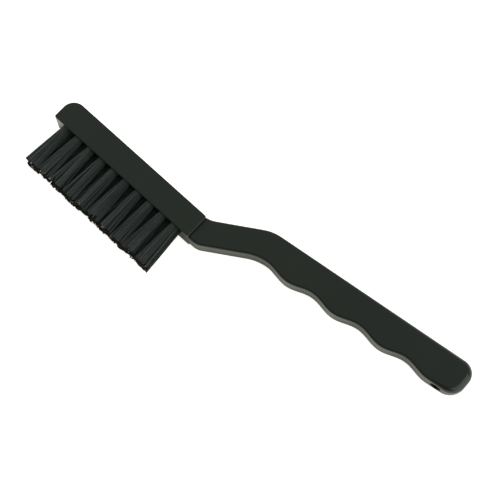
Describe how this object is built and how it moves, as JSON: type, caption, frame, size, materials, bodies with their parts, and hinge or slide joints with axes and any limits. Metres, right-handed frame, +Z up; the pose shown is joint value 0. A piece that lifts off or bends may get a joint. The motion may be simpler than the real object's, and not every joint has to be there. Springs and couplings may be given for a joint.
{
  "type": "circuit board brush",
  "caption": "Static-safe hand brush with a straight tufted head, a cranked neck and a slim grip with finger hollows and a hanging bore, for cleaning circuit boards.",
  "frame": {"origin": "centre of the head's flat side, on which the brush rests", "axes": "+X from the head's free end to the end of the grip, +Y out of the head's back, away from the bristles, +Z up across the head's width"},
  "size_m": [0.1808, 0.0542, 0.0119],
  "materials": {
    "handle_plastic": "satin moulded static-dissipative plastic",
    "bristle": "drawn conductive nylon filament with a soft sheen",
    "anchor_wire": "drawn flat wire"
  },
  "bodies": {
    "root": {"handle": "handle_plastic", "tuft_row1_01": "bristle", "tuft_row1_02": "bristle", "tuft_row1_03": "bristle", "tuft_row1_04": "bristle", "tuft_row1_05": "bristle", "tuft_row1_06": "bristle", "tuft_row1_07": "bristle", "tuft_row1_08": "bristle", "tuft_row1_09": "bristle", "tuft_row1_10": "bristle", "tuft_row2_01": "bristle", "tuft_row2_02": "bristle", "tuft_row2_03": "bristle", "tuft_row2_04": "bristle", "tuft_row2_05": "bristle", "tuft_row2_06": "bristle", "tuft_row2_07": "bristle", "tuft_row2_08": "bristle", "tuft_row2_09": "bristle", "tuft_row3_01": "bristle", "tuft_row3_02": "bristle", "tuft_row3_03": "bristle", "tuft_row3_04": "bristle", "tuft_row3_05": "bristle", "tuft_row3_06": "bristle", "tuft_row3_07": "bristle", "tuft_row3_08": "bristle", "tuft_row3_09": "bristle", "tuft_row3_10": "bristle", "anchor_row1_01": "anchor_wire", "anchor_row1_02": "anchor_wire", "anchor_row1_03": "anchor_wire", "anchor_row1_04": "anchor_wire", "anchor_row1_05": "anchor_wire", "anchor_row1_06": "anchor_wire", "anchor_row1_07": "anchor_wire", "anchor_row1_08": "anchor_wire", "anchor_row1_09": "anchor_wire", "anchor_row1_10": "anchor_wire", "anchor_row2_01": "anchor_wire", "anchor_row2_02": "anchor_wire", "anchor_row2_03": "anchor_wire", "anchor_row2_04": "anchor_wire", "anchor_row2_05": "anchor_wire", "anchor_row2_06": "anchor_wire", "anchor_row2_07": "anchor_wire", "anchor_row2_08": "anchor_wire", "anchor_row2_09": "anchor_wire", "anchor_row3_01": "anchor_wire", "anchor_row3_02": "anchor_wire", "anchor_row3_03": "anchor_wire", "anchor_row3_04": "anchor_wire", "anchor_row3_05": "anchor_wire", "anchor_row3_06": "anchor_wire", "anchor_row3_07": "anchor_wire", "anchor_row3_08": "anchor_wire", "anchor_row3_09": "anchor_wire", "anchor_row3_10": "anchor_wire"}
  },
  "joints": []
}
